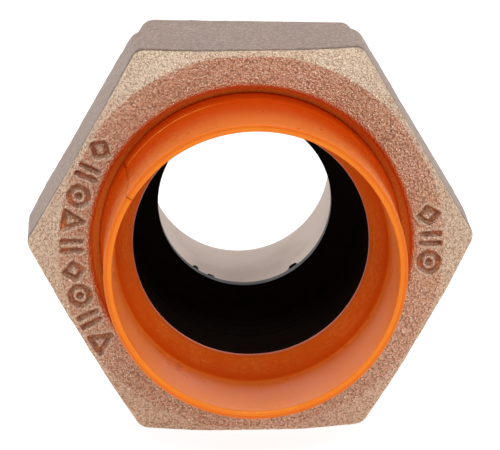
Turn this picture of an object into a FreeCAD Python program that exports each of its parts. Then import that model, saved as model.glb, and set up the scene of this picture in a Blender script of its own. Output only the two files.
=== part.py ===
import FreeCAD, Part, Sketcher
import math
import os
import re

# Push-in coupling that joins a corrugated tube to a threaded socket.
#
# The row's frame: Y is the bore axis and +Y points out along the threaded tail.  The origin is the
# centre of the body's shoulder, the rear face of its hexagon, where the tail starts.  Z is up and
# the cap nut rests on one of its flats.
#
# The body and the two rubber rings inside it are drawn from the shoulder.  The cap nut and all that
# it carries are drawn from the nut's front face, with +Y inwards, and are placed by their Placement.

FULL_TURN = 360

DIMENSIONS = {
    # alias: (value in mm or degrees, meaning)
    "body_across_flats": (38.2, "body hexagon across flats"),
    "body_hex_width": (8.8, "body hexagon, along the axis"),
    "body_corner_radius": (1.4, "rounding of the body hexagon's corners"),
    "body_face_circle": (36.4, "diameter of the flat left by the corner chamfer at the front"),
    "body_turn": (1.7, "degrees the body hexagon is turned from the nut's, clockwise from the front"),
    "spigot_reach": (16.35, "shoulder to the spigot's front face"),
    "union_thread": (35.8, "union thread, over the crests"),
    "union_root": (34.0, "union thread relief diameter"),
    "seal_bore": (30.6, "bore that holds the seal and the gasket"),
    "seal_floor": (3.95, "wall between the gasket and the shoulder"),
    "flow_bore": (20.44, "bore through the tail"),
    "tail_thread": (26.44, "tail thread, over the crests"),
    "tail_length": (13.25, "tail, from the shoulder"),
    "tail_chamfer": (1.2, "lead chamfer of the tail and the spigot"),
    "cap_gap": (1.8, "gap between the tightened nut and the body hexagon"),
    "cap_across_flats": (41.0, "cap nut across flats"),
    "cap_length": (13.4, "cap nut along the axis"),
    "cap_corner_radius": (1.5, "rounding of the cap nut's corners"),
    "cap_face_circle": (40.6, "diameter of the flat left by the front corner chamfer"),
    "cap_back_circle": (43.0, "diameter of the flat left by the rear corner chamfer"),
    "corner_chamfer": (30.0, "corner chamfers, degrees from the face"),
    "cap_mouth": (33.4, "bore at the nut's front face"),
    "cap_mouth_depth": (0.9, "straight part of that bore"),
    "cap_mouth_round": (0.5, "rounding of the mouth's edge"),
    "cap_lip_bore": (31.8, "bore of the nut's lip"),
    "cap_lip": (3.0, "thickness of the nut's lip"),
    "cap_bore": (36.0, "bore behind the lip, over the thread's roots"),
    "collar_reach": (11.9, "how far the collar stands out of the nut"),
    "collar_bore": (29.4, "collar mouth"),
    "collar_outside": (31.1, "collar outside"),
    "collar_foot": (31.4, "collar outside, within the nut"),
    "collar_lip_round": (0.3, "rounding of the collar's lip"),
    "collar_slit": (0.9, "width of the slit, degrees"),
    "slit_direction": (146.5, "place of the slit, degrees from +X towards +Z"),
    "funnel_start": (2.0, "funnel's wide end, in front of the nut's face"),
    "throat": (24.8, "narrowest bore of the collar"),
    "throat_front": (0.9, "throat's front edge, behind the nut's face"),
    "throat_back": (1.8, "throat's rear edge"),
    "flange_diameter": (33.8, "collar flange"),
    "flange_front": (3.6, "collar flange's front face"),
    "flange_back": (5.2, "collar flange's rear face"),
    "socket_bore": (27.2, "recess for the guide sleeve in the collar's back"),
    "socket_front": (3.3, "front end of that recess"),
    "spring_wire": (0.8, "wire of the collar spring"),
    "spring_circle": (33.1, "diameter of the collar spring, to the wire's centre"),
    "spring_groove": (32.1, "floor of the spring's groove"),
    "spring_gap": (14.0, "opening of the collar spring, degrees"),
    "washer_thickness": (0.5, "both steel washers"),
    "thrust_outside": (34.8, "thrust washer outside"),
    "face_play": (0.05, "play between faces that slide on each other"),
    "guide_outside": (27.0, "guide sleeve outside"),
    "guide_back": (8.6, "guide sleeve's rear end"),
    "seal_outside": (30.4, "seal sleeve and end gasket outside"),
    "seal_mouth": (27.9, "seal sleeve's wide mouth, and the seal washer's bore"),
    "seal_inside": (25.5, "seal sleeve's bore between its lips"),
    "seal_lips": (24.9, "bore of the two sealing lips"),
    "seal_washer_outside": (34.4, "seal washer outside"),
    "seal_step": (13.0, "shoulder to the end of the seal sleeve's wide mouth"),
    "seal_back": (7.5, "shoulder to the seal sleeve's rear end"),
    "lip_spacing": (2.2, "distance between the two sealing lips"),
    "lip_width": (1.2, "width of a sealing lip at its foot"),
    "gasket_land": (18.9, "bore of the end gasket"),
    "gasket_land_length": (1.5, "straight length of that bore"),
}

document = FreeCAD.newDocument("PushInCoupling")
sheet = document.addObject("Spreadsheet::Sheet", "Dims")
for row, (alias, (value, meaning)) in enumerate(DIMENSIONS.items(), start=1):
    sheet.set(f"A{row}", meaning)
    sheet.set(f"B{row}", str(value))
    sheet.setAlias(f"B{row}", alias)
document.recompute()

# The nut's front face, measured from the shoulder against +Y.
FRONT = "(body_hex_width + cap_gap + cap_length)"


def bound(text):
    """The expression with every dimension's alias made a reference to the sheet."""
    return re.sub(r"[a-z_]+", lambda m: f"Dims.{m.group()}" if m.group() in DIMENSIONS else m.group(),
                  text)


def new_piece(label, station=None, turn=None):
    """A sub-part whose Placement moves it along Y to a station and turns it about the bore axis."""
    body = document.addObject("PartDesign::Body", label)
    body.Label = label
    body.Placement = FreeCAD.Placement(FreeCAD.Vector(), FreeCAD.Rotation(FreeCAD.Vector(0, -1, 0), 1))
    body.setExpression("Placement.Base.y", bound(station or "0"))
    body.setExpression("Placement.Rotation.Angle", bound(turn or "0"))
    return body


def new_sketch(body, name, plane_role):
    """A sketch on one of the sub-part's own origin planes."""
    sketch = body.newObject("Sketcher::SketchObject", name)
    plane = next(f for f in body.Origin.OriginFeatures if f.Role == plane_role)
    sketch.AttachmentSupport = [(plane, "")]
    sketch.MapMode = "FlatFace"
    return sketch


def outline_sketch(body, name, points, plane_role="XY_Plane"):
    """A closed outline through corners (across, along), each an expression of the dimensions."""
    sketch = new_sketch(body, name, plane_role)
    corners = [FreeCAD.Vector(evaluate(across), evaluate(along), 0) for across, along in points]
    for start, end in zip(corners, corners[1:] + corners[:1]):
        sketch.addGeometry(Part.LineSegment(start, end), False)
    for line, (across, along) in enumerate(points):
        sketch.addConstraint(Sketcher.Constraint("Coincident", line - 1 if line else len(points) - 1, 2,
                                                 line, 1))
        for kind, expression in (("DistanceX", across), ("DistanceY", along)):
            index = sketch.addConstraint(Sketcher.Constraint(kind, line, 1, evaluate(expression)))
            sketch.setExpression(f"Constraints[{index}]", bound(expression))
    return sketch


def evaluate(expression):
    """The expression's present value, in mm or degrees."""
    value = sheet.evalExpression(bound(expression))
    return float(getattr(value, "Value", value))


def turned(body, name, points, kind="Revolution", angle="360"):
    """The outline (radius, station) turned about the bore axis: added, or cut as a Groove."""
    before = body.Shape.Volume if kind == "Groove" else 0
    sketch = outline_sketch(body, name + "_outline", points)
    feature = body.newObject(f"PartDesign::{kind}", name)
    feature.Profile = sketch
    feature.ReferenceAxis = (sketch, ["V_Axis"])
    feature.setExpression("Angle", bound(angle))
    document.recompute()
    if kind == "Groove" and not feature.Shape.Volume < before:
        raise RuntimeError(f"{name} cuts nothing")
    return feature


def hexagon(body, across_flats, length, corner_radius, backwards):
    """A hexagonal prism from station 0, flats up and down, with rounded corners."""
    points = [(f"{across_flats} / sqrt(3) * cos({60 * corner} deg)",
               f"{across_flats} / sqrt(3) * sin({60 * corner} deg)") for corner in range(6)]
    sketch = outline_sketch(body, "hexagon_outline", points, "XZ_Plane")
    prism = body.newObject("PartDesign::Pad", "hexagon")
    prism.Profile = sketch
    prism.setExpression("Length", bound(length))
    prism.Reversed = not backwards
    document.recompute()
    corners = [f"Edge{number}" for number, edge in enumerate(prism.Shape.Edges, start=1)
               if abs(edge.tangentAt(edge.FirstParameter).y) > 0.99]
    rounding = body.newObject("PartDesign::Fillet", "corner_rounding")
    rounding.Base = (prism, corners)
    rounding.setExpression("Radius", bound(corner_radius))
    document.recompute()
    return rounding


def corner_chamfer(body, name, face_circle, across_flats, face, inwards):
    """Cuts the hexagon's corners back to a circle on the face at that station."""
    reach = f"({across_flats} - {face_circle} / 2)"
    depth = f"({reach} * tan(corner_chamfer * 1 deg))"
    turned(body, name, [
        (f"{face_circle} / 2", face),
        (across_flats, face),
        (across_flats, f"{face} {inwards} {depth}"),
    ], "Groove")


def round_edges(body, name, radius, chosen):
    """Rounds the circular edges for which chosen(edge radius, station) is true."""
    base = body.Tip
    edges = [f"Edge{number}" for number, edge in enumerate(base.Shape.Edges, start=1)
             if isinstance(edge.Curve, Part.Circle) and chosen(edge.Curve.Radius, edge.Curve.Center.y)]
    if not edges:
        raise RuntimeError(f"{name} finds no edge")
    rounding = body.newObject("PartDesign::Fillet", name)
    rounding.Base = (base, edges)
    rounding.setExpression("Radius", bound(radius))
    document.recompute()


def near(value, expression):
    return abs(value - evaluate(expression)) < 1e-4


def make_body():
    """Hexagon, spigot and tail in one casting, bored through, with a deeper bore for the seal."""
    body = new_piece("body", turn="-body_turn")
    hexagon(body, "body_across_flats", "body_hex_width", "body_corner_radius", backwards=True)
    corner_chamfer(body, "front_chamfer", "body_face_circle", "body_across_flats", "-body_hex_width", "+")
    turned(body, "spigot_and_tail", [
        ("0", "-spigot_reach"),
        ("union_thread / 2 - tail_chamfer / 2", "-spigot_reach"),
        ("union_thread / 2", "-spigot_reach + tail_chamfer / 2"),
        ("union_thread / 2", "-body_hex_width - tail_chamfer"),
        ("union_root / 2", "-body_hex_width - tail_chamfer / 2"),
        ("union_root / 2", "-body_hex_width / 2"),
        ("tail_thread / 2", "-body_hex_width / 2"),
        ("tail_thread / 2", "tail_length - tail_chamfer"),
        ("tail_thread / 2 - tail_chamfer", "tail_length"),
        ("0", "tail_length"),
    ])
    turned(body, "bore", [
        ("0", "-spigot_reach - 1"),
        ("seal_bore / 2", "-spigot_reach - 1"),
        ("seal_bore / 2", "-seal_floor"),
        ("flow_bore / 2", "-seal_floor"),
        ("flow_bore / 2", "tail_length + 1"),
        ("0", "tail_length + 1"),
    ], "Groove")
    return body


def make_cap_nut():
    """Hexagonal nut whose front lip holds the collar in and whose bore runs over the spigot."""
    nut = new_piece("cap_nut", station=f"-{FRONT}")
    hexagon(nut, "cap_across_flats", "cap_length", "cap_corner_radius", backwards=False)
    corner_chamfer(nut, "front_chamfer", "cap_face_circle", "cap_across_flats", "0", "+")
    corner_chamfer(nut, "rear_chamfer", "cap_back_circle", "cap_across_flats", "cap_length", "-")
    turned(nut, "bore", [
        ("0", "-1"),
        ("cap_mouth / 2", "-1"),
        ("cap_mouth / 2", "cap_mouth_depth"),
        ("cap_lip_bore / 2", "cap_mouth_depth + (cap_mouth - cap_lip_bore) / 2"),
        ("cap_lip_bore / 2", "cap_lip"),
        ("cap_bore / 2", "cap_lip"),
        ("cap_bore / 2", "cap_length - tail_chamfer / 2"),
        ("cap_bore / 2 + tail_chamfer / 2", "cap_length"),
        ("cap_bore / 2 + tail_chamfer / 2", "cap_length + 1"),
        ("0", "cap_length + 1"),
    ], "Groove")
    round_edges(nut, "mouth_rounding", "cap_mouth_round",
                lambda radius, station: near(radius, "cap_mouth / 2") and near(station, "0"))
    return nut


def make_split_collar():
    """Tube with a funnel inside it and a flange behind it, open along one narrow slit."""
    collar = new_piece("split_collar", station=f"-{FRONT}", turn="slit_direction - collar_slit / 2")
    groove_front = "(flange_front + flange_back - spring_wire) / 2 - face_play"
    groove_back = "(flange_front + flange_back + spring_wire) / 2 + face_play"
    turned(collar, "collar", [
        ("collar_bore / 2", "-collar_reach"),
        ("collar_outside / 2", "-collar_reach"),
        ("collar_outside / 2", "-(collar_foot - collar_outside) / 2"),
        ("collar_foot / 2", "0"),
        ("collar_foot / 2", "flange_front"),
        ("flange_diameter / 2", "flange_front"),
        ("flange_diameter / 2", groove_front),
        ("spring_groove / 2", groove_front),
        ("spring_groove / 2", groove_back),
        ("flange_diameter / 2", groove_back),
        ("flange_diameter / 2", "flange_back"),
        ("socket_bore / 2", "flange_back"),
        ("socket_bore / 2", "socket_front"),
        ("throat / 2", "throat_back"),
        ("throat / 2", "throat_front"),
        ("collar_bore / 2", "-funnel_start"),
    ], angle=f"{FULL_TURN} - collar_slit")
    round_edges(collar, "lip_rounding", "collar_lip_round",
                lambda radius, station: near(station, "-collar_reach"))
    return collar


def make_collar_spring():
    """Open ring of round wire in the groove of the collar's flange."""
    spring = new_piece("collar_spring", station=f"-{FRONT}", turn="slit_direction + 180 - spring_gap / 2")
    sketch = new_sketch(spring, "wire_section", "XY_Plane")
    centre = FreeCAD.Vector(evaluate("spring_circle / 2"), evaluate("(flange_front + flange_back) / 2"), 0)
    sketch.addGeometry(Part.Circle(centre, FreeCAD.Vector(0, 0, 1), evaluate("spring_wire / 2")), False)
    for kind, expression in (("DistanceX", "spring_circle / 2"),
                             ("DistanceY", "(flange_front + flange_back) / 2")):
        index = sketch.addConstraint(Sketcher.Constraint(kind, 0, 3, evaluate(expression)))
        sketch.setExpression(f"Constraints[{index}]", bound(expression))
    index = sketch.addConstraint(Sketcher.Constraint("Radius", 0, evaluate("spring_wire / 2")))
    sketch.setExpression(f"Constraints[{index}]", bound("spring_wire / 2"))
    ring = spring.newObject("PartDesign::Revolution", "ring")
    ring.Profile = sketch
    ring.ReferenceAxis = (sketch, ["V_Axis"])
    ring.setExpression("Angle", bound(f"{FULL_TURN} - spring_gap"))
    document.recompute()
    return spring


def make_washer(label, station, inside, outside):
    """Flat steel washer whose front face is at the station."""
    washer = new_piece(label, station=station)
    turned(washer, "ring", [
        (f"{inside} / 2", "0"),
        (f"{outside} / 2", "0"),
        (f"{outside} / 2", "washer_thickness"),
        (f"{inside} / 2", "washer_thickness"),
    ])
    return washer


def make_guide_sleeve():
    """Thin sleeve behind the throat, with the throat's bore, that telescopes into the seal's mouth."""
    sleeve = new_piece("guide_sleeve", station=f"-{FRONT}")
    turned(sleeve, "sleeve", [
        ("throat / 2", "throat_back + 4 * face_play"),
        ("guide_outside / 2", "socket_front + 2 * face_play"),
        ("guide_outside / 2", "guide_back"),
        ("throat / 2", "guide_back"),
    ])
    return sleeve


def make_seal_sleeve():
    """Rubber sleeve that lines the body's bore, with a wide mouth and two lips."""
    seal = new_piece("seal_sleeve")
    lips = []
    for lip in range(2):
        middle = f"-(seal_step + seal_back) / 2 + {lip - 0.5} * lip_spacing"
        lips += [
            ("seal_inside / 2", f"{middle} - lip_width / 2"),
            ("seal_lips / 2", f"{middle} - lip_width / 6"),
            ("seal_lips / 2", f"{middle} + lip_width / 6"),
            ("seal_inside / 2", f"{middle} + lip_width / 2"),
        ]
    turned(seal, "sleeve", [
        ("seal_outside / 2", "-seal_back"),
        ("seal_outside / 2", "-spigot_reach + face_play"),
        ("seal_mouth / 2", "-spigot_reach + face_play"),
        ("seal_mouth / 2", "-seal_step"),
        ("seal_inside / 2", "-seal_step"),
        *lips,
        ("seal_inside / 2", "-seal_back"),
    ])
    return seal


def make_end_gasket():
    """Rubber ring at the end of the seal's bore, dished towards its land, that stops the tube."""
    gasket = new_piece("end_gasket")
    land_front = "-seal_floor - face_play - gasket_land_length"
    turned(gasket, "ring", [
        ("seal_outside / 2", "-seal_back + face_play"),
        ("seal_outside / 2", "-seal_floor - face_play"),
        ("gasket_land / 2", "-seal_floor - face_play"),
        ("gasket_land / 2", land_front),
        ("gasket_land / 2 + 0.3", f"{land_front} - 0.35"),
        ("seal_inside / 2", "-seal_back + face_play"),
    ])
    return gasket


PIECES = [
    make_body(),
    make_cap_nut(),
    make_split_collar(),
    make_collar_spring(),
    make_washer("thrust_washer", f"-{FRONT} + cap_lip + face_play", "cap_lip_bore", "thrust_outside"),
    make_guide_sleeve(),
    make_washer("seal_washer", "-spigot_reach - face_play - washer_thickness", "seal_mouth",
                "seal_washer_outside"),
    make_seal_sleeve(),
    make_end_gasket(),
]

document.recompute()
for item in document.Objects:
    if {"Invalid", "Error"} & set(item.State):
        raise RuntimeError(f"{item.Name}: {item.State}")
for piece in PIECES:
    if piece.Shape.isNull() or not piece.Shape.isValid() or len(piece.Shape.Solids) != 1:
        raise RuntimeError(f"{piece.Label} is not one valid solid")

os.makedirs("parts", exist_ok=True)
for piece in PIECES:
    piece.Shape.exportStep(f"parts/{piece.Label}.step")
    box = piece.Shape.BoundBox
    print(f"{piece.Label}: {piece.Shape.Volume:.1f} mm3, Y {box.YMin:.2f} to {box.YMax:.2f}, "
          f"width {box.XLength:.2f}, height {box.ZLength:.2f}")
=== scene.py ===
import math
import bpy
import numpy as np
from mathutils import Matrix, Vector


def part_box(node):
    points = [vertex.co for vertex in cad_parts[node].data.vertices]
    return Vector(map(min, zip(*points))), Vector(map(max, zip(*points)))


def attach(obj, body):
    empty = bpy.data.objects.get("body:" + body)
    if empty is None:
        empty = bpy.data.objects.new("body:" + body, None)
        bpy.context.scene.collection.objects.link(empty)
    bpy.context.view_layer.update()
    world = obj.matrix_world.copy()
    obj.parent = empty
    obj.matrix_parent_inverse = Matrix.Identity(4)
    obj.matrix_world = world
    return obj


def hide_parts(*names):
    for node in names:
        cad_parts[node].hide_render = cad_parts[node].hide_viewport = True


# A push-in coupling: a cast gunmetal cap nut and body, an orange split collar, and the washers,
# spring and rubber rings that they hold. Every piece is turned about the bore, which is the Y axis.
# Lengths below are in millimetres and angles in degrees unless a name says otherwise.

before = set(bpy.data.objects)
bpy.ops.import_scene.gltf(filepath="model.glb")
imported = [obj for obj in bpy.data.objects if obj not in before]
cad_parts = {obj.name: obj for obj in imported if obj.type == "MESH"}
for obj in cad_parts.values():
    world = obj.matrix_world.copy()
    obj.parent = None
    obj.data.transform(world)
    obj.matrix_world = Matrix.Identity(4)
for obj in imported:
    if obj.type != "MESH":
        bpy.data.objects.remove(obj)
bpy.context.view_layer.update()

MM = 0.001


def node_box(node):
    """Lowest and highest corner of a CAD node, in millimetres."""
    low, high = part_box(node)
    return np.array(low) / MM, np.array(high) / MM


NUT_LOW, NUT_HIGH = node_box("cap_nut")
BODY_LOW, BODY_HIGH = node_box("body")
COLLAR_LOW, COLLAR_HIGH = node_box("split_collar")
GUIDE_LOW, GUIDE_HIGH = node_box("guide_sleeve")
SEAL_LOW, SEAL_HIGH = node_box("seal_sleeve")
GASKET_LOW, GASKET_HIGH = node_box("end_gasket")

NUT_FACE = NUT_LOW[1]
NUT_BACK = NUT_HIGH[1]
NUT_FLATS = NUT_HIGH[2] - NUT_LOW[2]
NUT_TURN = -0.1
NUT_CORNER = 1.5
NUT_MOUTH, NUT_LIP, NUT_BORE = 16.7, 15.9, 18.0
NUT_FRONT_CIRCLE, NUT_BACK_CIRCLE = 20.3, 21.5
TAIL_END = BODY_HIGH[1]
SPIGOT_END = BODY_LOW[1]
COLLAR_END = COLLAR_LOW[1]
FLANGE_BACK = COLLAR_HIGH[1]
FLANGE_RADIUS = COLLAR_HIGH[0]
BODY_FLATS = 38.2
BODY_TURN = -1.7
BODY_CORNER = 1.4
BODY_FRONT_CIRCLE = 18.2
BODY_HEX_FRONT = -8.8
UNION_PITCH, UNION_CUT = 1.5, 0.86
TAIL_PITCH, TAIL_CUT = 1.814, 1.12
TAIL_RADIUS = 13.22
FLOW_RADIUS = 10.22
SEAL_FLOOR = GASKET_HIGH[1] + 0.05
SEAL_MOUTH, SEAL_BORE = 13.95, 12.75
THROAT = 12.4
SLIT = 146.5


# ---------------------------------------------------------------- surfaces

def lattice_noise(points, cell, seed):
    """Smooth noise from -1 to 1: one random number for each corner of a cubic lattice of that cell,
    blended inside the cell by 3 t^2 - 2 t^3 along each axis."""
    scaled = points / cell
    corner = np.floor(scaled).astype(np.int64)
    share = scaled - corner
    share = share * share * (3 - 2 * share)
    total = np.zeros(points.shape[:-1])
    for offset in np.ndindex(2, 2, 2):
        key = corner + offset
        mixed = key[..., 0] * 73856093 ^ key[..., 1] * 19349663 ^ key[..., 2] * 83492791 ^ seed * 2654435
        mixed = (mixed & 0xFFFFFFFF) * 2246822519 & 0xFFFFFFFF
        mixed = (mixed ^ mixed >> 15) * 3266489917 & 0xFFFFFFFF
        value = (mixed ^ mixed >> 13 & 0xFFFF) / 2147483648.0 - 1
        weight = np.prod(np.where(np.array(offset) == 1, share, 1 - share), axis=-1)
        total += value * weight
    return total


def smooth_step(value, low, high):
    """0 below low, 1 above high, and 3 t^2 - 2 t^3 between them."""
    share = np.clip((value - low) / (high - low), 0, 1)
    return share * share * (3 - 2 * share)


def even_angles(count):
    """Angles in radians, evenly spaced round a full turn."""
    return np.arange(count) * 2 * np.pi / count


def crowded_angles(count, bands, crowding):
    """Angles round a full turn, closer together by the factor crowding within the bands (low, high)."""
    fine = np.linspace(0, 360, 7201)
    density = np.ones_like(fine)
    for low, high in bands:
        middle, half = (low + high) / 2, (high - low) / 2
        away = np.abs((fine - middle + 180) % 360 - 180)
        density += (crowding - 1) * (1 - smooth_step(away, half, half + 6))
    reached = np.concatenate([[0], np.cumsum((density[1:] + density[:-1]) / 2)])
    return np.radians(np.interp(np.arange(count) / count * reached[-1], reached, fine))


def hexagon_radius(angles, across_flats, corner_radius, turn=0.0):
    """Distance from the axis to a rounded hexagon with flats above and below: half the flats over the
    cosine of the angle from the nearest flat's middle, and near a corner the outer side of the circle
    that rounds it."""
    half = across_flats / 2
    from_flat = np.radians((np.degrees(angles) - turn) % 60 - 30)
    from_corner = np.radians(30) - np.abs(from_flat)
    centre = (half - corner_radius) / np.cos(np.radians(30))
    arc = centre * np.cos(from_corner) + np.sqrt(
        np.maximum(corner_radius ** 2 - (centre * np.sin(from_corner)) ** 2, 0))
    tangent = np.arctan((half - corner_radius) * np.tan(np.radians(30)) / half)
    return np.where(np.abs(from_flat) > tangent, arc, half / np.cos(from_flat))


def trace(corners, angles):
    """Points along a closed outline for every angle. Each corner is (radius, station, step, finish):
    radius and station are a number or one value per angle, step is the spacing of the points from
    this corner to the next, and finish is the number of the material on that stretch. Returns radius
    and station as (angles, points), and the finish and the corner's number of each point."""
    radius, station, finish, stretch = [], [], [], []
    ends = [(r + 0 * angles, s + 0 * angles) for r, s, _, _ in corners]
    for number, (r, s) in enumerate(ends):
        next_r, next_s = ends[(number + 1) % len(ends)]
        length = np.hypot(next_r - r, next_s - s).max()
        count = max(2, math.ceil(length / corners[number][2]))
        share = np.arange(count) / count
        radius.append(r[:, None] + (next_r - r)[:, None] * share)
        station.append(s[:, None] + (next_s - s)[:, None] * share)
        finish += [corners[number][3]] * count
        stretch += [number] * count
    return np.hstack(radius), np.hstack(station), np.array(finish), np.array(stretch)


def soften(values, reach):
    """Rounds the outline's corners: a running average over reach points each way, taken twice."""
    count = 2 * reach + 1
    for _ in range(2):
        values = sum(np.roll(values, shift, axis=1) for shift in range(-reach, reach + 1)) / count
    return values


def thread_height(angles, station, pitch, crest_share=0.18):
    """Height of a right-hand thread from root to crest, 0 to 1: a triangle wave of the station less the
    pitch's share of the turn, with its tips cut flat. It advances along -Y as it turns from X to Z."""
    phase = (station / pitch + angles[:, None] / (2 * np.pi)) % 1
    wave = np.abs(2 * phase - 1)
    return np.clip((wave - crest_share) / (1 - 2 * crest_share), 0, 1)


def ring_points(radius, station, angles):
    """The points (radius cos a, station, radius sin a), in millimetres. The angles are one per row, or
    one per point where the rows aren't straight."""
    turn = angles[:, None] if angles.ndim == 1 else angles
    return np.stack([radius * np.cos(turn), station + 0 * turn, radius * np.sin(turn)], axis=-1)


def grid_normals(points, closed=True):
    """Unit normals of a grid: the cross product of the differences along its rows and columns."""
    along = np.roll(points, -1, axis=1) - np.roll(points, 1, axis=1)
    across = np.roll(points, -1, axis=0) - np.roll(points, 1, axis=0)
    if not closed:
        across[0] = points[1] - points[0]
        across[-1] = points[-1] - points[-2]
    normal = np.cross(across, along)
    return normal / np.maximum(np.linalg.norm(normal, axis=-1, keepdims=True), 1e-9)


def outward_sign(points):
    """1 if grid_normals point out of the solid, -1 if they point in: the sign of the flux through it."""
    return np.sign(np.sum(points * np.cross(np.roll(points, -1, axis=0) - points,
                                            np.roll(points, -1, axis=1) - points)))


def grid_piece(name, points, materials, finish, closed=True, attributes=None):
    """A closed surface from a grid of points whose columns join up, and whose rows join up too or, if
    not closed, end in two flat caps. The faces point outwards."""
    rows, columns = points.shape[:2]
    i, j = np.meshgrid(np.arange(rows if closed else rows - 1), np.arange(columns), indexing="ij")
    below, beside = (i + 1) % rows, (j + 1) % columns
    quads = np.stack([i * columns + j, below * columns + j, below * columns + beside,
                      i * columns + beside], axis=-1).reshape(-1, 4)
    if outward_sign(points) < 0:
        quads = quads[:, ::-1]
    faces = quads.tolist()
    if not closed:
        first, last = np.arange(columns).tolist(), (np.arange(columns) + (rows - 1) * columns).tolist()
        flip = outward_sign(points) < 0
        faces += [first[::-1] if flip else first, last if flip else last[::-1]]
    mesh = bpy.data.meshes.new(name)
    mesh.from_pydata((points.reshape(-1, 3) * MM).tolist(), [], faces)
    slots = np.zeros(len(faces), np.int32)
    slots[:len(quads)] = np.broadcast_to(finish, i.shape).reshape(-1)
    mesh.polygons.foreach_set("material_index", slots)
    smooth = np.ones(len(faces), bool)
    smooth[len(quads):] = False
    mesh.polygons.foreach_set("use_smooth", smooth)
    for key, values in (attributes or {}).items():
        attribute = mesh.attributes.new(key, "FLOAT", "POINT")
        attribute.data.foreach_set("value", np.broadcast_to(values, (rows, columns)).astype(
            np.float32).reshape(-1))
    for material in materials:
        mesh.materials.append(material)
    mesh.update()
    piece = bpy.data.objects.new(name, mesh)
    bpy.context.scene.collection.objects.link(piece)
    return piece


def stand_in(piece, node, body):
    """The piece takes the CAD node's place and rides on its body."""
    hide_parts(node)
    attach(piece, body)
    return piece


def turned_piece(name, corners, count, reach, material):
    """A full ring turned from an outline with softened corners."""
    angles = even_angles(count)
    radius, station, finish, _ = trace(corners, angles)
    points = ring_points(soften(radius, reach), soften(station, reach), angles)
    return grid_piece(name, points, [material], finish)


# ---------------------------------------------------------------- finishes

def fill(tree, sockets, values):
    """Gives each named socket its value, or links it from an output."""
    for key, value in values.items():
        if isinstance(value, bpy.types.NodeSocket):
            tree.links.new(value, sockets[key])
        else:
            sockets[key].default_value = value


def spaced(values):
    """The same values, with spaces for the underscores in their names."""
    return {key.replace("_", " "): value for key, value in values.items()}


def add(tree, kind, settings=None, inputs=None):
    """A node with its settings and its inputs, each a value or the output it is linked from."""
    node = tree.nodes.new(kind)
    for key, value in (settings or {}).items():
        setattr(node, key, value)
    fill(tree, node.inputs, inputs or {})
    return node


def maths(tree, operation, first, second=0.0, third=0.0):
    """The output of one Math node."""
    return add(tree, "ShaderNodeMath", {"operation": operation},
               {0: first, 1: second, 2: third}).outputs[0]


def noise(tree, vector, scale, detail=2.0, roughness=0.5):
    """The value of a noise texture, about 0.5."""
    return add(tree, "ShaderNodeTexNoise", None, {
        "Vector": vector, "Scale": scale, "Detail": detail, "Roughness": roughness}).outputs["Fac"]


def between(tree, value, low, high, to_low=0.0, to_high=1.0):
    """The value taken from low..high to to_low..to_high, smoothly and clamped."""
    return add(tree, "ShaderNodeMapRange", {"interpolation_type": "SMOOTHSTEP"}, {
        "Value": value, "From Min": low, "From Max": high, "To Min": to_low, "To Max": to_high,
    }).outputs["Result"]


def blend_colour(tree, share, first, second):
    """The mix of two colours, each a value or an output."""
    node = add(tree, "ShaderNodeMix", {"data_type": "RGBA"}, {0: share, 6: first, 7: second})
    return node.outputs[2]


def new_group(name, inputs, outputs):
    """An empty node group with those float or vector inputs and float outputs."""
    group = bpy.data.node_groups.new(name, "ShaderNodeTree")
    for label, kind, value in inputs:
        socket = group.interface.new_socket(label, in_out="INPUT", socket_type=kind)
        if value is not None:
            socket.default_value = value
    for label in outputs:
        group.interface.new_socket(label, in_out="OUTPUT", socket_type="NodeSocketFloat")
    return group, group.nodes.new("NodeGroupInput").outputs, group.nodes.new("NodeGroupOutput").inputs


def grain_group():
    """Metal grains: rounded cells of the given size, each at its own height, with fine noise on them.
    Height is the relief, Fleck marks the few grains that catch the light, Pit the gaps between."""
    group, given, wanted = new_group("grain", [
        ("Vector", "NodeSocketVector", None), ("Cells per metre", "NodeSocketFloat", 4000.0)],
        ["Height", "Fleck", "Pit"])
    vector, scale = given["Vector"], given["Cells per metre"]
    wobble = add(group, "ShaderNodeTexNoise", None, {"Vector": vector, "Scale": maths(
        group, "MULTIPLY", scale, 0.6), "Detail": 1.0}).outputs["Color"]
    bent = add(group, "ShaderNodeVectorMath", {"operation": "MULTIPLY_ADD"}, {
        0: wobble, 1: (0.00035, 0.00035, 0.00035), 2: vector}).outputs[0]
    cells = add(group, "ShaderNodeTexVoronoi", {"feature": "SMOOTH_F1"}, {
        "Vector": bent, "Scale": scale, "Smoothness": 0.35})
    random = add(group, "ShaderNodeSeparateColor", None, {"Color": cells.outputs["Color"]}).outputs[0]
    fine = noise(group, vector, maths(group, "MULTIPLY", scale, 2.3), 2.0, 0.6)
    mound = between(group, cells.outputs["Distance"], 0.0, 0.8, 1.0, 0.0)
    lift = maths(group, "MULTIPLY_ADD", random, 0.5, mound)
    group.links.new(maths(group, "MULTIPLY_ADD", fine, 0.6, lift), wanted["Height"])
    fleck = maths(group, "MULTIPLY", between(group, random, 0.57, 0.74), between(group, mound, 0.35, 0.8))
    group.links.new(fleck, wanted["Fleck"])
    group.links.new(between(group, maths(group, "MULTIPLY_ADD", fine, 0.8, mound), 0.75, 0.35),
                    wanted["Pit"])
    return group


def smear_group():
    """Slow variation over a surface, such as handling marks: two sizes of noise added."""
    group, given, wanted = new_group("smear", [
        ("Vector", "NodeSocketVector", None), ("Patches per metre", "NodeSocketFloat", 120.0)], ["Share"])
    wide = noise(group, given["Vector"], given["Patches per metre"], 3.0, 0.55)
    small = noise(group, given["Vector"], maths(group, "MULTIPLY", given["Patches per metre"], 5.0), 2.0)
    total = maths(group, "ADD", maths(group, "MULTIPLY", wide, 0.7), maths(group, "MULTIPLY", small, 0.3))
    group.links.new(between(group, total, 0.35, 0.65), wanted["Share"])
    return group


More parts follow.
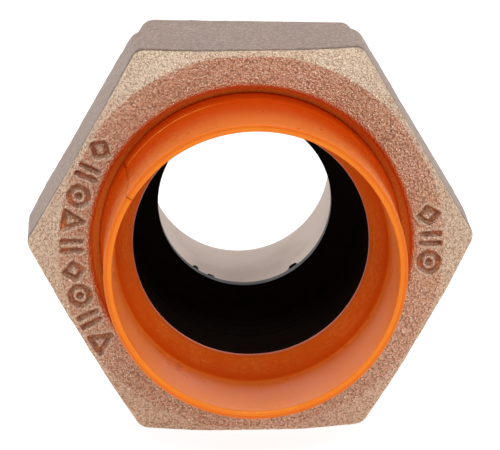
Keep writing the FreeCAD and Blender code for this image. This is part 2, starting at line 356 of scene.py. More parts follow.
def lines_group():
    """Fine turned lines round the bore: noise squeezed along Y so that it varies only from line to
    line."""
    group, given, wanted = new_group("turned lines", [
        ("Vector", "NodeSocketVector", None), ("Lines per metre", "NodeSocketFloat", 9000.0)], ["Height"])
    squeezed = add(group, "ShaderNodeVectorMath", {"operation": "MULTIPLY"}, {
        0: given["Vector"], 1: (0.02, 1.0, 0.02)}).outputs[0]
    group.links.new(noise(group, squeezed, given["Lines per metre"], 2.0, 0.7), wanted["Height"])
    return group


GRAIN = grain_group()
SMEAR = smear_group()
LINES = lines_group()


def place(tree, group, **inputs):
    """A placed copy of a node group; underscores in the inputs' names stand for spaces."""
    node = add(tree, "ShaderNodeGroup", {"node_tree": group}, spaced(inputs))
    return node.outputs


def new_finish(name):
    """A material with its tree, its shader and the piece's own coordinates."""
    material = bpy.data.materials.new(name)
    material.use_nodes = True
    tree = material.node_tree
    shader = tree.nodes["Principled BSDF"]
    where = tree.nodes.new("ShaderNodeTexCoord").outputs["Object"]
    return material, tree, shader, where


def connect(tree, shader, **inputs):
    """Sets or links the shader's sockets; underscores in their names stand for spaces."""
    fill(tree, shader.inputs, spaced(inputs))


def bump(tree, height, strength, distance, normal=None):
    """A bumped normal; distance is in metres."""
    inputs = {"Height": height, "Strength": strength, "Distance": distance}
    if normal:
        inputs["Normal"] = normal
    return add(tree, "ShaderNodeBump", None, inputs).outputs["Normal"]


def cast_gunmetal():
    """Sand-cast and blasted gunmetal: copper-brown ground, pale crystalline flecks and dark pits. The
    attributes mark a paler skin that is partly wear and partly painted highlight, the marks with painted
    shade in their grooves, and the mouth's edge with a painted orange reflection of the collar."""
    material, tree, shader, where = new_finish("cast_gunmetal")
    grain = place(tree, GRAIN, Vector=where, Cells_per_metre=4600.0)
    fine = place(tree, GRAIN, Vector=where, Cells_per_metre=9500.0)
    smear = place(tree, SMEAR, Vector=where, Patches_per_metre=90.0)["Share"]
    wear_and_painted_light, sunk, mouth = (add(tree, "ShaderNodeAttribute", {"attribute_name": name}).outputs["Fac"]
                           for name in ("wear_and_painted_light", "sunk", "mouth"))
    ground = blend_colour(tree, smear, (0.72, 0.405, 0.245, 1), (0.82, 0.485, 0.315, 1))
    # The paler skin: real wear on the chamfers, plus painted highlight on the upper front chamfer and on
    # the up-facing walls of the marks.
    ground = blend_colour(tree, wear_and_painted_light, ground, (1.0, 0.82, 0.62, 1))
    hollow = maths(tree, "MULTIPLY", grain["Pit"], maths(tree, "MULTIPLY_ADD", wear_and_painted_light, -0.10, 0.66))
    pit_colour = blend_colour(tree, wear_and_painted_light, (0.20, 0.065, 0.025, 1), (0.32, 0.14, 0.055, 1))
    pitted = blend_colour(tree, hollow, ground, pit_colour)
    pitted = blend_colour(tree, maths(tree, "MULTIPLY", fine["Pit"], maths(
        tree, "MULTIPLY", wear_and_painted_light, 0.45)), pitted, pit_colour)
    flecked = blend_colour(tree, maths(tree, "MULTIPLY", grain["Fleck"], 0.90), pitted,
                           (0.98, 0.80, 0.60, 1))
    sparkle = maths(tree, "MULTIPLY", fine["Fleck"], maths(tree, "MULTIPLY_ADD", wear_and_painted_light, 0.45, 0.55))
    flecked = blend_colour(tree, sparkle, flecked, (1.0, 0.90, 0.74, 1))
    # Inside the marks: a darker, redder colour that is painted shade in the grooves, its tone varied at
    # random.
    stain = between(tree, noise(tree, where, 1100.0, 2.0, 0.6), 0.48, 0.62)
    bottom = blend_colour(tree, stain, (0.46, 0.190, 0.095, 1), (0.95, 0.33, 0.09, 1))
    marks_shaded = blend_colour(tree, maths(tree, "MULTIPLY", sunk, 0.72), flecked, bottom)
    # The mouth's edge: a painted orange reflection of the collar.
    painted_collar_reflection = blend_colour(tree, mouth, marks_shaded, (0.97, 0.29, 0.035, 1))
    coarse = bump(tree, grain["Height"], 0.9, 0.00012)
    normal = bump(tree, fine["Height"], 0.5, 0.00005, coarse)
    roughness = maths(tree, "MULTIPLY_ADD", grain["Fleck"], -0.14, maths(
        tree, "MULTIPLY_ADD", smear, 0.08, 0.40))
    connect(tree, shader, Base_Color=painted_collar_reflection, Metallic=0.75, Roughness=roughness, Normal=normal,
            Specular_IOR_Level=0.6)
    return material


def side_gunmetal():
    """The flats of the hexagons: satin, darker and greyer with painted shade and a painted reflection of
    the dim room, nearly free of flecks, with faint streaks from handling, and a dark ragged line of
    painted shade where they meet a chamfer."""
    material, tree, shader, where = new_finish("side_gunmetal")
    fine = place(tree, GRAIN, Vector=where, Cells_per_metre=3600.0)
    smear = place(tree, SMEAR, Vector=where, Patches_per_metre=150.0)["Share"]
    edge = add(tree, "ShaderNodeAttribute", {"attribute_name": "wear_and_painted_light"}).outputs["Fac"]
    # Painted shade: a dark ragged line along the edge of the flats where they meet a chamfer.
    ragged = between(tree, maths(tree, "MULTIPLY_ADD", noise(tree, where, 1500.0, 3.0, 0.6), 1.1, edge),
                     0.80, 1.05)
    blotch = between(tree, noise(tree, where, 1300.0, 4.0, 0.7), 0.38, 0.62)
    # The flats' darker, greyer colour is painted shade and a painted reflection of the dim room.
    colour = blend_colour(tree, smear, (0.35, 0.235, 0.180, 1), (0.42, 0.295, 0.235, 1))
    colour = blend_colour(tree, maths(tree, "MULTIPLY", blotch, 0.30), colour, (0.56, 0.42, 0.35, 1))
    colour = blend_colour(tree, maths(tree, "MULTIPLY", fine["Fleck"], 0.45), colour, (0.8, 0.62, 0.5, 1))
    colour = blend_colour(tree, maths(tree, "MULTIPLY", fine["Pit"], 0.45), colour, (0.19, 0.11, 0.08, 1))
    colour = blend_colour(tree, maths(tree, "MULTIPLY", ragged, 0.85), colour, (0.15, 0.065, 0.028, 1))
    connect(tree, shader, Base_Color=colour, Metallic=0.6, Specular_IOR_Level=0.5,
            Normal=bump(tree, fine["Height"], 0.6, 0.00008),
            Roughness=maths(tree, "MULTIPLY_ADD", smear, 0.10, 0.44))
    return material


def turned_gunmetal():
    """The same metal where a lathe has cut it: smoother, paler, with fine lines round the bore."""
    material, tree, shader, where = new_finish("turned_gunmetal")
    smear = place(tree, SMEAR, Vector=where, Patches_per_metre=160.0)["Share"]
    lines = place(tree, LINES, Vector=where, Lines_per_metre=9000.0)["Height"]
    fine = place(tree, GRAIN, Vector=where, Cells_per_metre=9000.0)
    colour = blend_colour(tree, smear, (0.70, 0.55, 0.47, 1), (0.78, 0.63, 0.54, 1))
    colour = blend_colour(tree, maths(tree, "MULTIPLY", lines, 0.25), colour, (0.46, 0.31, 0.20, 1))
    normal = bump(tree, fine["Height"], 0.12, 0.00003, bump(tree, lines, 0.3, 0.00003))
    connect(tree, shader, Base_Color=colour, Metallic=0.9, Normal=normal,
            Roughness=maths(tree, "MULTIPLY_ADD", smear, 0.10, 0.44))
    return material


def mouth_painted_reflection():
    """The nut's smooth mouth, whose orange base colour is a painted reflection of the collar it faces."""
    material, tree, shader, where = new_finish("mouth_painted_reflection")
    grain = place(tree, GRAIN, Vector=where, Cells_per_metre=5200.0)
    colour = blend_colour(tree, grain["Pit"], (1.0, 0.42, 0.06, 1), (0.95, 0.28, 0.02, 1))
    connect(tree, shader, Base_Color=colour, Metallic=0.3, Roughness=0.4,
            Normal=bump(tree, grain["Height"], 0.2, 0.00005))
    return material


def orange_plastic():
    """Glossy moulded plastic, slightly translucent, with soft flow marks. The attributes carry painted
    shade, which makes it darker and redder, and a paler, duller skin that is real scuffs on the funnel
    and painted highlight elsewhere."""
    material, tree, shader, where = new_finish("orange_plastic")
    smear = place(tree, SMEAR, Vector=where, Patches_per_metre=110.0)["Share"]
    lines = place(tree, LINES, Vector=where, Lines_per_metre=2500.0)["Height"]
    painted_shade, scuffs_and_painted_highlight = (add(tree, "ShaderNodeAttribute", {"attribute_name": name}).outputs["Fac"]
                     for name in ("painted_shade", "scuffs_and_painted_highlight"))
    shallow = blend_colour(tree, smear, (0.96, 0.225, 0.012, 1), (0.99, 0.255, 0.016, 1))
    # Painted shade: a darker, redder orange where less light reaches.
    colour = blend_colour(tree, painted_shade, shallow, (0.63, 0.060, 0.001, 1))
    scratches = between(tree, noise(tree, where, 2600.0, 3.0, 0.65), 0.40, 0.66)
    # The pale skin: real scuffs on the funnel, and painted highlight on the step and near the lip.
    scuff_and_highlight = maths(tree, "MULTIPLY", scuffs_and_painted_highlight, maths(tree, "MULTIPLY_ADD", scratches, 0.75, 0.25))
    colour = blend_colour(tree, scuff_and_highlight, colour, (1.0, 0.43, 0.09, 1))
    roughness = maths(tree, "MULTIPLY_ADD", smear, 0.10, maths(tree, "MULTIPLY_ADD", scuff_and_highlight, 0.25, 0.26))
    connect(tree, shader, Base_Color=colour, Roughness=roughness,
            Normal=bump(tree, lines, 0.06, 0.00002), Subsurface_Weight=0.20,
            Subsurface_Radius=(1.0, 0.35, 0.08), Subsurface_Scale=0.0005, Specular_IOR_Level=0.18)
    return material


def black_moulding(name, roughness, grain_size, gloss):
    """Black rubber or nylon: nearly even, with a slight brown bloom and a fine moulded texture."""
    material, tree, shader, where = new_finish(name)
    smear = place(tree, SMEAR, Vector=where, Patches_per_metre=140.0)["Share"]
    fine = place(tree, GRAIN, Vector=where, Cells_per_metre=grain_size)
    colour = blend_colour(tree, smear, (0.0105, 0.0080, 0.0060, 1), (0.0135, 0.0104, 0.0080, 1))
    connect(tree, shader, Base_Color=colour, Normal=bump(tree, fine["Height"], 0.10, 0.00003),
            Roughness=maths(tree, "MULTIPLY_ADD", smear, 0.10, roughness), Specular_IOR_Level=gloss)
    return material


def stamped_steel():
    """Stainless strip and wire: grey, satin, with drawing lines."""
    material, tree, shader, where = new_finish("stamped_steel")
    smear = place(tree, SMEAR, Vector=where, Patches_per_metre=200.0)["Share"]
    lines = place(tree, LINES, Vector=where, Lines_per_metre=14000.0)["Height"]
    colour = blend_colour(tree, smear, (0.50, 0.49, 0.47, 1), (0.60, 0.59, 0.57, 1))
    connect(tree, shader, Base_Color=colour, Metallic=1.0, Normal=bump(tree, lines, 0.2, 0.00002),
            Roughness=maths(tree, "MULTIPLY_ADD", smear, 0.12, 0.26))
    return material


CAST = cast_gunmetal()
TURNED = turned_gunmetal()
ORANGE = orange_plastic()
RUBBER = black_moulding("black_rubber", 0.55, 5000.0, 0.0)
GASKET = black_moulding("black_gasket_rubber", 0.42, 5000.0, 0.22)
NYLON = black_moulding("black_nylon", 0.5, 7000.0, 0.0)
STEEL = stamped_steel()
SIDE = side_gunmetal()
MOUTH = mouth_painted_reflection()
CAST_FINISH, TURNED_FINISH, SIDE_FINISH, MOUTH_FINISH = 0, 1, 2, 3


# ---------------------------------------------------------------- cast marks

MARK_CIRCLE = 18.75
MARK_HEIGHT = 2.5
MARK_STROKE = 0.26
MARK_DEPTH = 0.52
LEFT_MARKS = (146.5, 213.0, ("diamond", "bars", "target", "wedge", "bars", "diamond", "target", "bars",
                             "wedge"))
RIGHT_MARKS = (-7.0, 8.5, ("target", "bars", "diamond"))


def segment_distance(u, v, start, end):
    """Distance from the points (u, v) to a straight stroke."""
    du, dv = end[0] - start[0], end[1] - start[1]
    share = np.clip(((u - start[0]) * du + (v - start[1]) * dv) / (du * du + dv * dv), 0, 1)
    return np.hypot(u - start[0] - share * du, v - start[1] - share * dv)


def mark_distance(kind, u, v):
    """Distance from a mark's centre line: twin bars along the radius, a ring with a dot in it, a
    triangle's outline pointing at the bore, or a diamond's outline."""
    half = MARK_HEIGHT / 2 - MARK_STROKE
    if kind == "target":
        away = np.hypot(u, v)
        return np.minimum(np.abs(away - half), np.maximum(away - 0.1, 0))
    if kind == "bars":
        return segment_distance(np.abs(u), v, (0.5, -half), (0.5, half))
    if kind == "wedge":
        return np.minimum(segment_distance(np.abs(u), v, (0, -half), (0.9, half)),
                          segment_distance(u, v, (-0.9, half), (0.9, half)))
    return segment_distance(np.abs(u), np.abs(v), (0.85, 0), (0, half))


def marks_relief(points):
    """Relief of the recessed marks on the nut's front face, and how far each point is inside a mark and
    in its burr: a rounded groove MARK_DEPTH deep, with a slight burr beside it."""
    polar = np.degrees(np.arctan2(points[..., 2], points[..., 0]))
    outward = np.hypot(points[..., 0], points[..., 2]) - MARK_CIRCLE
    uneven = 0.07 * lattice_noise(points, 0.45, 41)
    sunk, burr = np.zeros(polar.shape), np.zeros(polar.shape)
    for low, high, kinds in (LEFT_MARKS, RIGHT_MARKS):
        for kind, middle in zip(kinds, np.linspace(low, high, len(kinds))):
            along = np.radians((polar - middle + 180) % 360 - 180) * MARK_CIRCLE
            distance = mark_distance(kind, along, outward) + uneven
            sunk = np.maximum(sunk, 1 - smooth_step(distance, 0.05, MARK_STROKE + 0.08))
            burr = np.maximum(burr, smooth_step(distance, MARK_STROKE, MARK_STROKE + 0.15)
                              * (1 - smooth_step(distance, MARK_STROKE + 0.15, MARK_STROKE + 0.5)))
    return 0.06 * burr - MARK_DEPTH * sunk, sunk, burr * (1 - sunk)


# ---------------------------------------------------------------- pieces

def chamfered(radius, circle, slope_degrees=30.0, least=0.45):
    """How far a corner chamfer runs along the side for each angle, and the radius where it meets the
    face: the cone starts at the circle on the face and climbs slope_degrees from it."""
    meets = np.minimum(circle, radius - least)
    depth = np.maximum(least, (radius - circle) * np.tan(np.radians(slope_degrees)))
    return meets, depth


def make_cap_nut():
    """Hexagon with rounded corners and chamfered ends, a round mouth with a step in it and a plain
    bore. The cast stretches are uneven by lattice noise along the normal, and the front face carries
    the sunk marks."""
    marked_bands = [(143, 217), (-10, 12)]
    angles = crowded_angles(740, marked_bands, 2.2)
    side = hexagon_radius(angles, NUT_FLATS, NUT_CORNER, NUT_TURN)
    front_meets, front_depth = chamfered(side, NUT_FRONT_CIRCLE)
    back_meets, back_depth = chamfered(side, NUT_BACK_CIRCLE)
    mouth, lip, bore = NUT_MOUTH, NUT_LIP, NUT_BORE
    corners = [
        (mouth, NUT_FACE + 0.9, 0.2, MOUTH_FINISH),
        (mouth, NUT_FACE + 0.35, 0.1, CAST_FINISH),
        (mouth + 0.35, NUT_FACE, 0.105, CAST_FINISH),
        (front_meets, NUT_FACE, 0.16, CAST_FINISH),
        (side, NUT_FACE + front_depth, 0.60, SIDE_FINISH),
        (side, NUT_BACK - back_depth, 0.25, CAST_FINISH),
        (back_meets, NUT_BACK, 0.45, CAST_FINISH),
        (bore + 0.7, NUT_BACK, 0.35, TURNED_FINISH),
        (bore, NUT_BACK - 0.7, 1.2, TURNED_FINISH),
        (bore, NUT_FACE + 3.0, 0.6, TURNED_FINISH),
        (lip, NUT_FACE + 3.0, 0.4, TURNED_FINISH),
        (lip, NUT_FACE + 1.85, 0.04, MOUTH_FINISH),
        (lip, NUT_FACE + 1.7, 0.04, MOUTH_FINISH),
        (lip + 0.1, NUT_FACE + 1.6, 0.16, MOUTH_FINISH),
    ]
    on_face, on_front_chamfer, on_back_chamfer = 2, 3, 5
    radius, station, finish, stretch = trace(corners, angles)
    radius, station = soften(radius, 1), soften(station, 1)
    points = ring_points(radius, station, angles)
    normal = grid_normals(points) * outward_sign(points)
    cast = np.isin(finish, (CAST_FINISH, SIDE_FINISH))[None, :]
    uneven = sum(height * lattice_noise(points, cell, seed)
                 for height, cell, seed in ((0.026, 1.6, 3), (0.022, 0.55, 5), (0.016, 0.3, 8)))
    points = points + normal * (uneven * cast)[..., None]
    facing_front = smooth_step(-normal[..., 1], 0.8, 0.97)
    face = np.isin(stretch, (on_face, on_front_chamfer))[None, :] * facing_front
    relief, sunk, burr = marks_relief(points)
    points[..., 1] -= relief * face

    # Paler skin, partly wear and partly painted light: the front chamfer, most of all near its corners,
    # with painted highlight making it paler above and darker below; the back chamfer; the edge of the
    # flats, which the side finish draws as a dark ragged line of painted shade; the marks' burr; and
    # painted highlight on the walls of the marks that face up.
    # Painted highlight: the front chamfer is paler above and darker below.
    painted_light_from_above = 0.55 + 0.45 * np.sin(angles)
    corner = np.clip((side - NUT_FRONT_CIRCLE - 0.2) / 1.2, 0.7, 1)
    front_chamfer = (stretch == on_front_chamfer)[None, :] * (corner * painted_light_from_above)[:, None]
    back_chamfer = (stretch == on_back_chamfer)[None, :] * 0.5
    past_chamfer = np.maximum(station - NUT_FACE - front_depth[:, None], 0)
    edge = np.exp(-past_chamfer / 0.9) * (finish == SIDE_FINISH)[None, :]
    upward = grid_normals(points)[..., 2] * outward_sign(points)
    # Painted highlight on the walls of the marks that face up.
    painted_lit_walls = np.clip(1.6 * upward, 0, 1) * face * smooth_step(sunk + burr, 0.05, 0.4)
    wear_and_painted_light = np.clip(0.9 * front_chamfer + back_chamfer + edge + 0.35 * burr * face + painted_lit_walls, 0, 1)

    # The front face's inner rim gets a painted orange reflection of the collar.
    rim_reflection = np.exp(-np.maximum(radius - mouth - 0.20, 0) / 0.18) * (finish == CAST_FINISH)[None, :]
    # The marks' sunk share carries painted shade; it is taken mostly off their walls that face up, which
    # get painted highlight instead.
    piece = grid_piece("cap_nut_casting", points, [CAST, TURNED, SIDE, MOUTH], finish, attributes={
        "wear_and_painted_light": wear_and_painted_light, "sunk": sunk * face * (1 - 0.8 * painted_lit_walls),
        "mouth": rim_reflection * 0.90 * (station < NUT_FACE + 2)})
    return stand_in(piece, "cap_nut", "nut")


def make_body():
    """Hexagon, threaded spigot and threaded tail as one turned outline, with its threads cut into the
    outline as a helix."""
    angles = even_angles(340)
    side = hexagon_radius(angles, BODY_FLATS, BODY_CORNER, BODY_TURN)
    meets, depth = chamfered(side, BODY_FRONT_CIRCLE)
    back_depth = 0.25
    back_meets = side - back_depth
    union, root, seal_bore = 17.9, 17.0, 15.3
    corners = [
        (union - 0.7, SPIGOT_END, 0.3, TURNED_FINISH),
        (union, SPIGOT_END + 0.7, 0.135, TURNED_FINISH),
        (union, BODY_HEX_FRONT - 1.2, 0.3, TURNED_FINISH),
        (root, BODY_HEX_FRONT - 0.6, 0.3, TURNED_FINISH),
        (root, BODY_HEX_FRONT, 0.3, CAST_FINISH),
        (meets, BODY_HEX_FRONT, 0.25, CAST_FINISH),
        (side, BODY_HEX_FRONT + depth, 0.45, SIDE_FINISH),
        (side, -back_depth, 0.2, CAST_FINISH),
        (back_meets, 0.0, 0.3, CAST_FINISH),
        (TAIL_RADIUS + 0.2, 0.0, 0.2, TURNED_FINISH),
        (TAIL_RADIUS, 0.4, 0.15, TURNED_FINISH),
        (TAIL_RADIUS, TAIL_END - 1.2, 0.2, TURNED_FINISH),
        (TAIL_RADIUS - 1.2, TAIL_END, 0.3, TURNED_FINISH),
        (FLOW_RADIUS + 0.3, TAIL_END, 0.15, TURNED_FINISH),
        (FLOW_RADIUS, TAIL_END - 0.3, 0.6, TURNED_FINISH),
        (FLOW_RADIUS, SEAL_FLOOR, 0.5, TURNED_FINISH),
        (seal_bore, SEAL_FLOOR, 0.6, TURNED_FINISH),
        (seal_bore, SPIGOT_END + 0.3, 0.2, TURNED_FINISH),
        (seal_bore + 0.3, SPIGOT_END, 0.3, TURNED_FINISH),
    ]
    on_union, on_chamfer, on_tail = 1, 5, 10
    radius, station, finish, stretch = trace(corners, angles)
    radius, station = soften(radius, 1), soften(station, 1)

    # Each thread is cut on one stretch of the outline and its two neighbours, and runs out at its ends.
    run = 0.9
    for middle, pitch, full, cut, start, end in (
            (on_union, UNION_PITCH, union, UNION_CUT, SPIGOT_END - 1, BODY_HEX_FRONT - 1.6),
            (on_tail, TAIL_PITCH, TAIL_RADIUS, TAIL_CUT, 1.9, TAIL_END + 1)):
        on_thread = np.isin(stretch, (middle - 1, middle, middle + 1))[None, :]
        run_out = smooth_step(station, start - run, start) * (1 - smooth_step(station, end, end + run))
        groove = cut * (1 - thread_height(angles, station, pitch)) * run_out
        radius = np.where(on_thread, np.minimum(radius, full - groove), radius)
    points = ring_points(radius, station, angles)
    normal = grid_normals(points) * outward_sign(points)
    cast = np.isin(finish, (CAST_FINISH, SIDE_FINISH))[None, :]
    uneven = 0.030 * lattice_noise(points, 1.7, 13) + 0.024 * lattice_noise(points, 0.6, 17)
    points = points + normal * (uneven * cast)[..., None]
    corner = np.clip((side - BODY_FRONT_CIRCLE - 0.2) / 1.2, 0, 1)
    wear_and_painted_light = 0.6 * (stretch == on_chamfer)[None, :] * corner[:, None]
    piece = grid_piece("body_casting", points, [CAST, TURNED, SIDE], finish, attributes={
        "wear_and_painted_light": wear_and_painted_light})
    return stand_in(piece, "body", "fitting")


def make_collar():
    """Open tube from one side of the slit to the other: lip, outside with a step near the nut's face,
    flange with the spring's groove, the recess behind, the throat, a hollow-sided funnel and the
    slightly conical mouth. The slit is a hairline that leans a little, and widens to a notch where the
    collar enters the nut."""
    lip_outer, lip_inner, foot = 15.55, 14.7, 15.7
    crease, socket, groove_floor = 14.35, 13.6, 16.05
    funnel_wide, funnel_narrow = NUT_FACE - 2.2, NUT_FACE + 0.9
    groove_middle = (NUT_FACE + 3.6 + FLANGE_BACK) / 2
    outside_from = 15.2
    turn = np.linspace(0, 1, 400)
    funnel = [(THROAT + (crease - THROAT) * share ** 1.2,
               funnel_narrow + (funnel_wide - funnel_narrow) * share, 0.14, 0)
              for share in (0.0, 0.25, 0.5, 0.75, 1.0)]
    corners = [
        (lip_inner + 0.02, COLLAR_END, 0.09, 0),
        (lip_outer, COLLAR_END, 0.09, 0),
        (lip_outer, COLLAR_END + 0.8, 0.3, 0),
        (lip_outer, NUT_FACE - 0.9, 0.07, 0),
        (foot, NUT_FACE - 0.75, 0.12, 0),
        (foot + 0.02, NUT_FACE + 0.3, 0.2, 0),
        (foot + 0.24, NUT_FACE + 1.45, 0.3, 0),
        (foot + 0.18, NUT_FACE + 2.4, 0.4, 0),
        (foot + 0.18, NUT_FACE + 3.6, 0.15, 0),
        (FLANGE_RADIUS, NUT_FACE + 3.6, 0.12, 0),
        (FLANGE_RADIUS, groove_middle - 0.45, 0.15, 0),
        (groove_floor, groove_middle - 0.45, 0.2, 0),
        (groove_floor, groove_middle + 0.45, 0.15, 0),
        (FLANGE_RADIUS, groove_middle + 0.45, 0.12, 0),
        (FLANGE_RADIUS, FLANGE_BACK, 0.3, 0),
        (socket, FLANGE_BACK, 0.3, 0),
        (socket, NUT_FACE + 3.3, 0.25, 0),
        (THROAT, NUT_FACE + 1.8, 0.15, 0),
        *funnel,
        (lip_inner + 0.02, COLLAR_END + 0.8, 0.09, 0),
    ]
    radius, station, finish, _ = trace(corners, turn)
    radius, station = soften(radius, 2), soften(station, 2)

    # Each column of the grid runs from one side of the slit to the other, at its own lean and gap.
    inward = (station[0] - COLLAR_END) / (NUT_FACE - COLLAR_END)
    lean = 1.4 * np.exp(-(inward / 0.22) ** 2) - 0.5 * np.sin(inward * 5.0)
    notch = 1.5 * np.exp(-((station[0] - NUT_FACE + 0.3) / 0.55) ** 2) * (radius[0] > outside_from)
    half_gap = 0.16 + notch
    first = SLIT + lean + half_gap
    last = SLIT + lean + 360 - half_gap
    angles = np.radians(first[None, :] + (last - first)[None, :] * turn[:, None])
    points = ring_points(radius, station, angles)
    wave = 0.035 * lattice_noise(points, 9.0, 21) + 0.010 * lattice_noise(points, 2.5, 22)
    points = points + grid_normals(points, closed=False) * outward_sign(points) * wave[..., None]
    outside = radius > outside_from

    # Painted shade, darker and redder: the outside towards the nut, and the funnel from its crease
    # inwards.
    outside_painted_shade = 0.35 + 0.65 * smooth_step(station, COLLAR_END, NUT_FACE - 3.0)
    funnel_painted_shade = smooth_step(station, funnel_wide - 0.3, funnel_wide + 0.3) * (
        0.85 - 0.30 * smooth_step(station, funnel_wide + 0.5, funnel_narrow))
    painted_shade = np.where(outside, outside_painted_shade, funnel_painted_shade)

    # Paler and duller: a painted highlight line on the step at the upper left, a painted highlight near
    # the lip, strongest at the bottom of the mouth, and real scuffs on the funnel.
    around = np.degrees(angles) % 360
    step_highlight_line = np.exp(-((station - NUT_FACE + 0.82) / 0.10) ** 2)
    upper_left = smooth_step(around, 96, 118) * (1 - smooth_step(around, 143, 146))
    bottom = np.exp(-((around - 270) / 30) ** 2)
    near_lip_highlight = (0.05 + 0.36 * bottom) * (radius < lip_inner + 0.2) * (
        1 - smooth_step(station, COLLAR_END + 1.5, COLLAR_END + 7.0))
    patches = 0.18 + 0.14 * lattice_noise(points * np.array([1, 0.6, 1]), 1.8, 27)
    funnel_skin = patches * smooth_step(station, funnel_wide + 0.3, funnel_wide + 1.2) * (
        1 - smooth_step(station, NUT_FACE + 0.2, funnel_narrow))
    scuffs_and_painted_highlight = np.where(outside, 0.8 * step_highlight_line * upper_left, np.clip(funnel_skin + near_lip_highlight, 0, 1))
    piece = grid_piece("split_collar_moulding", points, [ORANGE], finish, closed=False,
                       attributes={"painted_shade": painted_shade, "scuffs_and_painted_highlight": scuffs_and_painted_highlight})
    return stand_in(piece, "split_collar", "collar")


def make_collar_spring():
    """Open ring of round wire with rounded ends: the wire's radius shrinks as a half circle there."""
    low, high = node_box("collar_spring")
    wire = (high[1] - low[1]) / 2
    circle, middle = 16.55, (high[1] + low[1]) / 2
    half_gap = 7.0
    angles = np.radians(np.linspace(SLIT + 180 + half_gap, SLIT + 540 - half_gap, 300))
    from_end = np.minimum(angles - angles[0], angles[-1] - angles) * circle
    thickness = wire * np.sqrt(1 - (1 - np.clip(from_end / wire, 0.02, 1)) ** 2)
    around = np.linspace(0, 2 * np.pi, 20, endpoint=False)
    points = ring_points(circle + thickness[:, None] * np.cos(around),
                         middle + thickness[:, None] * np.sin(around), angles)
    piece = grid_piece("collar_spring_wire", points, [STEEL], 0, closed=False)
    return stand_in(piece, "collar_spring", "collar")


def make_washer(node, body, inner_radius):
    """Flat ring with the rounded edge that stamping leaves."""
    low, high = node_box(node)
    corners = [(inner_radius, low[1], 0.12, 0), (high[0], low[1], 0.08, 0), (high[0], high[1], 0.12, 0),
               (inner_radius, high[1], 0.08, 0)]
    piece = turned_piece(f"{node}_ring", corners, 300, 1, STEEL)
    return stand_in(piece, node, body)


def make_guide_sleeve():
    """Thin black sleeve with a tapered nose and rounded rear edge."""
    outer, inner = GUIDE_HIGH[0], THROAT
    front, back = GUIDE_LOW[1], GUIDE_HIGH[1]
    corners = [(inner, front, 0.15, 0), (outer, front + 1.4, 0.3, 0), (outer, back, 0.12, 0),
               (inner, back, 0.25, 0)]
    piece = turned_piece("guide_sleeve_moulding", corners, 300, 1, NYLON)
    return stand_in(piece, "guide_sleeve", "sleeve")


def make_seal_sleeve():
    """Rubber sleeve with a wide mouth and two rounded lips: 0.3 mm times a squared cosine each."""
    outer, lip = SEAL_HIGH[0], 0.3
    front, back, step = SEAL_LOW[1], SEAL_HIGH[1], -13.0
    middle = (step + back) / 2
    bore = []
    for station in np.linspace(step, back, 41):
        nearest = min(abs(station - middle - 1.1), abs(station - middle + 1.1))
        rise = lip * math.cos(math.pi / 2 * min(nearest / 0.8, 1)) ** 2
        bore.append((SEAL_BORE - rise, station, 0.12, 0))
    corners = [(outer, back, 0.4, 0), (outer, front, 0.2, 0), (SEAL_MOUTH, front, 0.2, 0),
               (SEAL_MOUTH, step, 0.2, 0), *bore]
    piece = turned_piece("seal_sleeve_rubber", corners, 300, 1, RUBBER)
    return stand_in(piece, "seal_sleeve", "fitting")


def make_end_gasket():
    """Rubber ring dished towards its smooth land, with a torn fringe of moulding flash behind the land:
    a fin whose length is a sum of short humps, each at its angle with its width and length."""
    outer, land = GASKET_HIGH[0], 9.45
    front, back = GASKET_LOW[1], GASKET_HIGH[1]
    angles = even_angles(900)
    degrees = np.degrees(angles)
    fringe = np.zeros_like(angles)
    for middle, width, length in ((235.5, 2.6, 0.62), (247.0, 3.0, 0.42), (304.0, 3.4, 0.70),
                                  (299.0, 1.6, 0.25), (20.0, 14.0, 0.16), (158.0, 16.0, 0.20),
                                  (100.0, 4.0, 0.3), (262.0, 1.5, 0.12), (281.0, 1.2, 0.10)):
        away = (degrees - middle + 180) % 360 - 180
        fringe += length * np.exp(-(away / width) ** 4)
    ragged = 1 + 0.18 * lattice_noise(np.stack([degrees, 0 * degrees, 0 * degrees], -1), 1.1, 31)
    fringe = np.maximum(fringe * ragged, 0.0)
    rise = 0.5 * np.minimum(fringe, 0.6)
    corners = [
        (outer, front, 0.5, 0),
        (outer, back, 0.5, 0),
        (land + 0.75, back, 0.12, 0),
        (land + 0.45 - rise, back + 1.2 * fringe + 0.01, 0.06, 0),
        (land + 0.22 - rise, back + 1.2 * fringe, 0.12, 0),
        (land + 0.03, back - 0.1, 0.1, 1),
        (land, back - 0.2, 0.2, 1),
        (land, back - 1.45, 0.04, 1),
        (land, back - 1.5, 0.04, 0),
        (land + 0.05, back - 1.55, 0.15, 0),
        (SEAL_BORE, front, 0.3, 0),
    ]
    radius, station, finish, _ = trace(corners, angles)
    points = ring_points(soften(radius, 1), soften(station, 1), angles)
    piece = grid_piece("end_gasket_rubber", points, [RUBBER, GASKET], finish)
    return stand_in(piece, "end_gasket", "fitting")


make_cap_nut()
make_body()
make_collar()
make_collar_spring()
make_washer("thrust_washer", "slip_ring", NUT_LIP)
make_washer("seal_washer", "fitting", SEAL_MOUTH)
make_guide_sleeve()
make_seal_sleeve()
make_end_gasket()


# ---------------------------------------------------------------- studio

def soft_lamp(name, place_at, aim, size, power):
    """A white rectangular lamp at a place, facing the aim; places in metres."""
    lamp = bpy.data.lights.new(name, "AREA")
    lamp.shape = "RECTANGLE"
    lamp.size, lamp.size_y = size
    lamp.energy = power
    holder = bpy.data.objects.new(name, lamp)
    holder.location = place_at
    holder.rotation_euler = (Vector(aim) - Vector(place_at)).to_track_quat("-Z", "Y").to_euler()
    bpy.context.scene.collection.objects.link(holder)


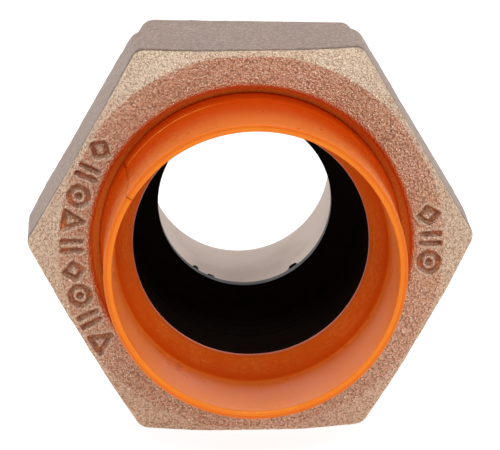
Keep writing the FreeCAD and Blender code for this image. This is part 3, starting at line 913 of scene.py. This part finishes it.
def make_floor():
    """A plain pale sheet under the part. It glows, and the camera sees it a little brighter than the
    part does."""
    half = 1.6
    level = NUT_LOW[2] * MM - 0.00005
    mesh = bpy.data.meshes.new("floor")
    mesh.from_pydata([(-half, -half, level), (half, -half, level), (half, half, level),
                      (-half, half, level)], [], [(0, 1, 2, 3)])
    material, tree, shader, where = new_finish("pale_paper")
    smear = place(tree, SMEAR, Vector=where, Patches_per_metre=4.0)["Share"]
    seen = tree.nodes.new("ShaderNodeLightPath").outputs["Is Camera Ray"]
    glow = maths(tree, "MULTIPLY_ADD", seen, 0.23, 0.66)
    connect(tree, shader, Roughness=0.9, Emission_Strength=glow, Emission_Color=(1, 1, 1, 1),
            Base_Color=blend_colour(tree, smear, (0.30, 0.30, 0.30, 1), (0.32, 0.32, 0.32, 1)))
    mesh.materials.append(material)
    floor = bpy.data.objects.new("floor", mesh)
    bpy.context.scene.collection.objects.link(floor)


def make_studio():
    """A dim room with a big soft lamp overhead and a little behind, bright sheets behind and at the
    sides, and a small soft lamp high in front."""
    world = bpy.data.worlds.new("studio")
    bpy.context.scene.world = world
    world.use_nodes = True
    world.node_tree.nodes["Background"].inputs["Color"].default_value = (0.92, 0.96, 1.0, 1)
    world.node_tree.nodes["Background"].inputs["Strength"].default_value = 0.20
    aim = (0, NUT_FACE * MM, 0)
    soft_lamp("lamp_overhead", (0.0, 0.08, 0.75), (0, 0.08, 0), (1.0, 0.7), 4.2)
    soft_lamp("lamp_high_front", (0.05, -0.60, 0.60), aim, (0.36, 0.14), 1.9)
    soft_lamp("sheet_behind", (0.0, 1.1, 0.25), (0, 0, 0.2), (2.4, 0.6), 4.5)
    soft_lamp("sheet_left", (-0.8, -0.35, 0.15), aim, (0.6, 0.5), 1.6)
    soft_lamp("sheet_right", (0.8, -0.35, 0.15), aim, (0.6, 0.5), 2.0)


def make_camera():
    """A long lens a little above the bore, looking in at the open collar."""
    azimuth, elevation, roll = -2.175, 14.278, -0.42
    distance = 418.8
    aim = Vector((-0.12, NUT_FACE + 0.50, 1.93)) * MM
    around, above = math.radians(azimuth), math.radians(elevation)
    back = Vector((math.sin(around) * math.cos(above), -math.cos(around) * math.cos(above),
                   math.sin(above)))
    lens = bpy.data.cameras.new("camera")
    lens.sensor_width = 36.0
    lens.lens = 288.0
    lens.clip_start, lens.clip_end = 0.01, 20.0
    camera = bpy.data.objects.new("camera", lens)
    turn = (-back).to_track_quat("-Z", "Y").to_matrix().to_4x4()
    camera.matrix_world = Matrix.Translation(aim + back * distance * MM) @ turn @ Matrix.Rotation(
        math.radians(roll), 4, "Z")
    bpy.context.scene.collection.objects.link(camera)
    bpy.context.scene.camera = camera


make_floor()
make_studio()
make_camera()
bpy.context.scene.view_settings.view_transform = "Standard"
